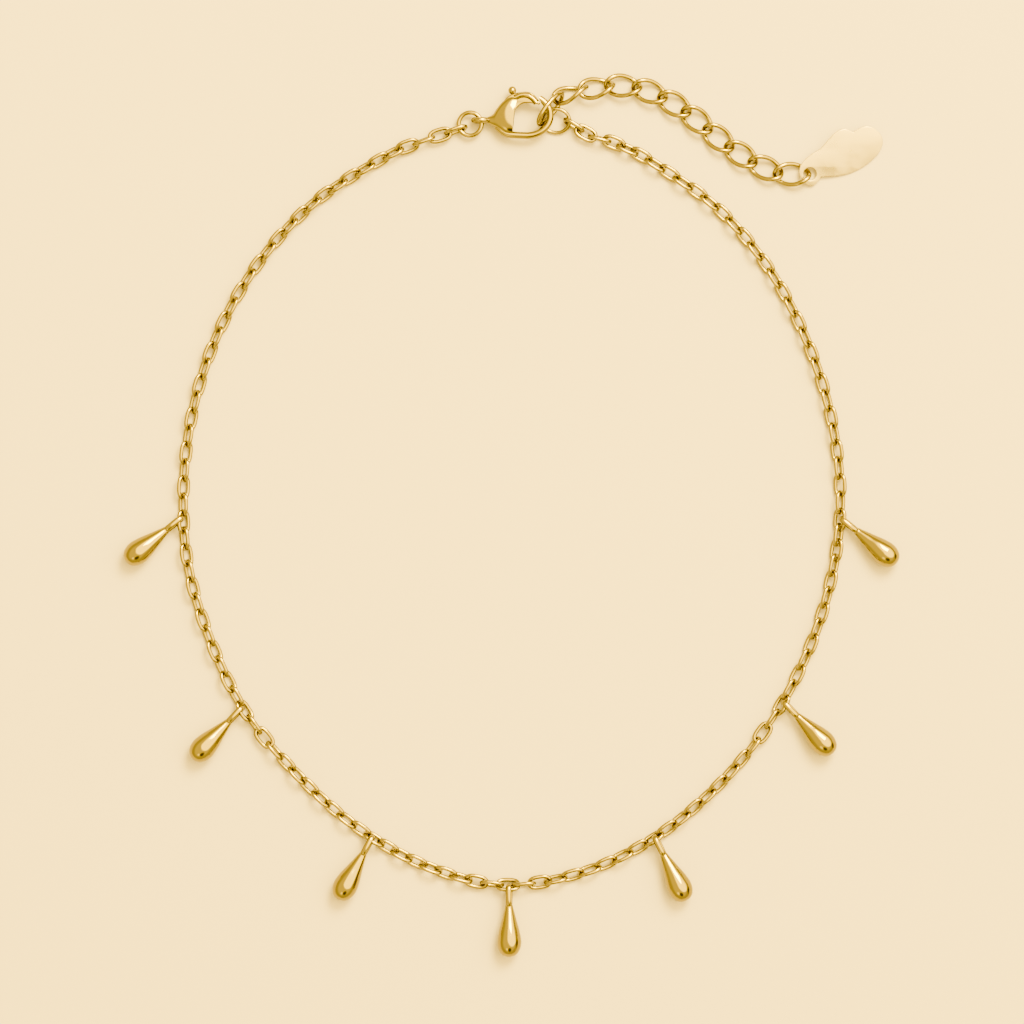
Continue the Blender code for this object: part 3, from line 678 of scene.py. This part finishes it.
# The sheet that it lies on: plain paper board, warm cream, pressed and uncoated, which makes
# it matt and even to the eye.
SHEET_CREAM = "#AAA36E"
SHEET_HALF = 0.6
sheet_mesh = bpy.data.meshes.new("paper_sheet")
sheet_mesh.from_pydata(
    [(x * SHEET_HALF, y * SHEET_HALF, 0) for x, y in ((-1, -1), (1, -1), (1, 1), (-1, 1))],
    [], [(0, 1, 2, 3)],
)
sheet = bpy.data.objects.new("paper_sheet", sheet_mesh)
bpy.context.scene.collection.objects.link(sheet)
paper = bpy.data.materials.new("cream_paper_matt")
paper.use_nodes = True
paper_shader = paper.node_tree.nodes["Principled BSDF"]
paper_shader.inputs["Base Color"].default_value = linear(SHEET_CREAM)
paper_shader.inputs["Roughness"].default_value = 0.85
sheet_mesh.materials.append(paper)

# The light: a room of warm daylight, brighter overhead, with one wide window up to the right,
# a dark spot low in front that every polished round shows, and a small pale one beside it.
# One soft box from the window's side casts the shadows down to the left.
ROOM_LIGHT = "#FFD479"
ROOM_LEVEL = 2.4
world = bpy.data.worlds.new("warm_room")
world.use_nodes = True
bpy.context.scene.world = world
room = world.node_tree
background = room.nodes["Background"]
background.inputs["Color"].default_value = linear(ROOM_LIGHT)
way = add_node(room, "ShaderNodeTexCoord").outputs["Generated"]
# Each patch of the room: the way to it, its inner and outer half angle, what it does there
ROOM_PATCHES = [
    ((0.0, 0.0, 1.0), 50, 70, 1.8),
    ((0.42, 0.3, 0.85), 34, 43, 4.6),
    ((0.08, -0.72, 0.69), 9, 19, 0.07),
    ((-0.33, -0.66, 0.68), 5, 11, 2.4),
    ((1.0, -0.1, 0.1), 6, 22, 0.15),
]
level = None
for toward, inner, outer, change in ROOM_PATCHES:
    near = add_node(
        room, "ShaderNodeVectorMath",
        {"operation": "DOT_PRODUCT", 1: Vector(toward).normalized()}, {0: way},
    )
    edge = add_node(
        room, "ShaderNodeMapRange",
        {"interpolation_type": "SMOOTHSTEP", "From Min": math.cos(math.radians(outer)),
         "From Max": math.cos(math.radians(inner)), "To Min": 1.0, "To Max": change},
        {"Value": near.outputs["Value"]},
    )
    so_far = add_node(
        room, "ShaderNodeMath", {"operation": "MULTIPLY", 1: ROOM_LEVEL}, {0: edge.outputs[0]}
    )
    if level is not None:
        room.links.new(level, so_far.inputs[1])
    level = so_far.outputs[0]
room.links.new(level, background.inputs["Strength"])


def soft_box(name, place, aim, width, height, power, colour):
    """A rectangular lamp at a place, turned to what it lights."""
    lamp = bpy.data.lights.new(name, "AREA")
    lamp.shape = "RECTANGLE"
    lamp.size, lamp.size_y = width, height
    lamp.energy = power
    lamp.color = linear(colour)[:3]
    made = bpy.data.objects.new(name, lamp)
    made.location = place
    made.rotation_euler = (Vector(aim) - Vector(place)).to_track_quat("-Z", "Y").to_euler()
    bpy.context.scene.collection.objects.link(made)


soft_box("key_soft_box", (0.22, 0.42, 0.6), (0, 0, 0), 0.3, 0.3, 44.0, "#FFDA90")
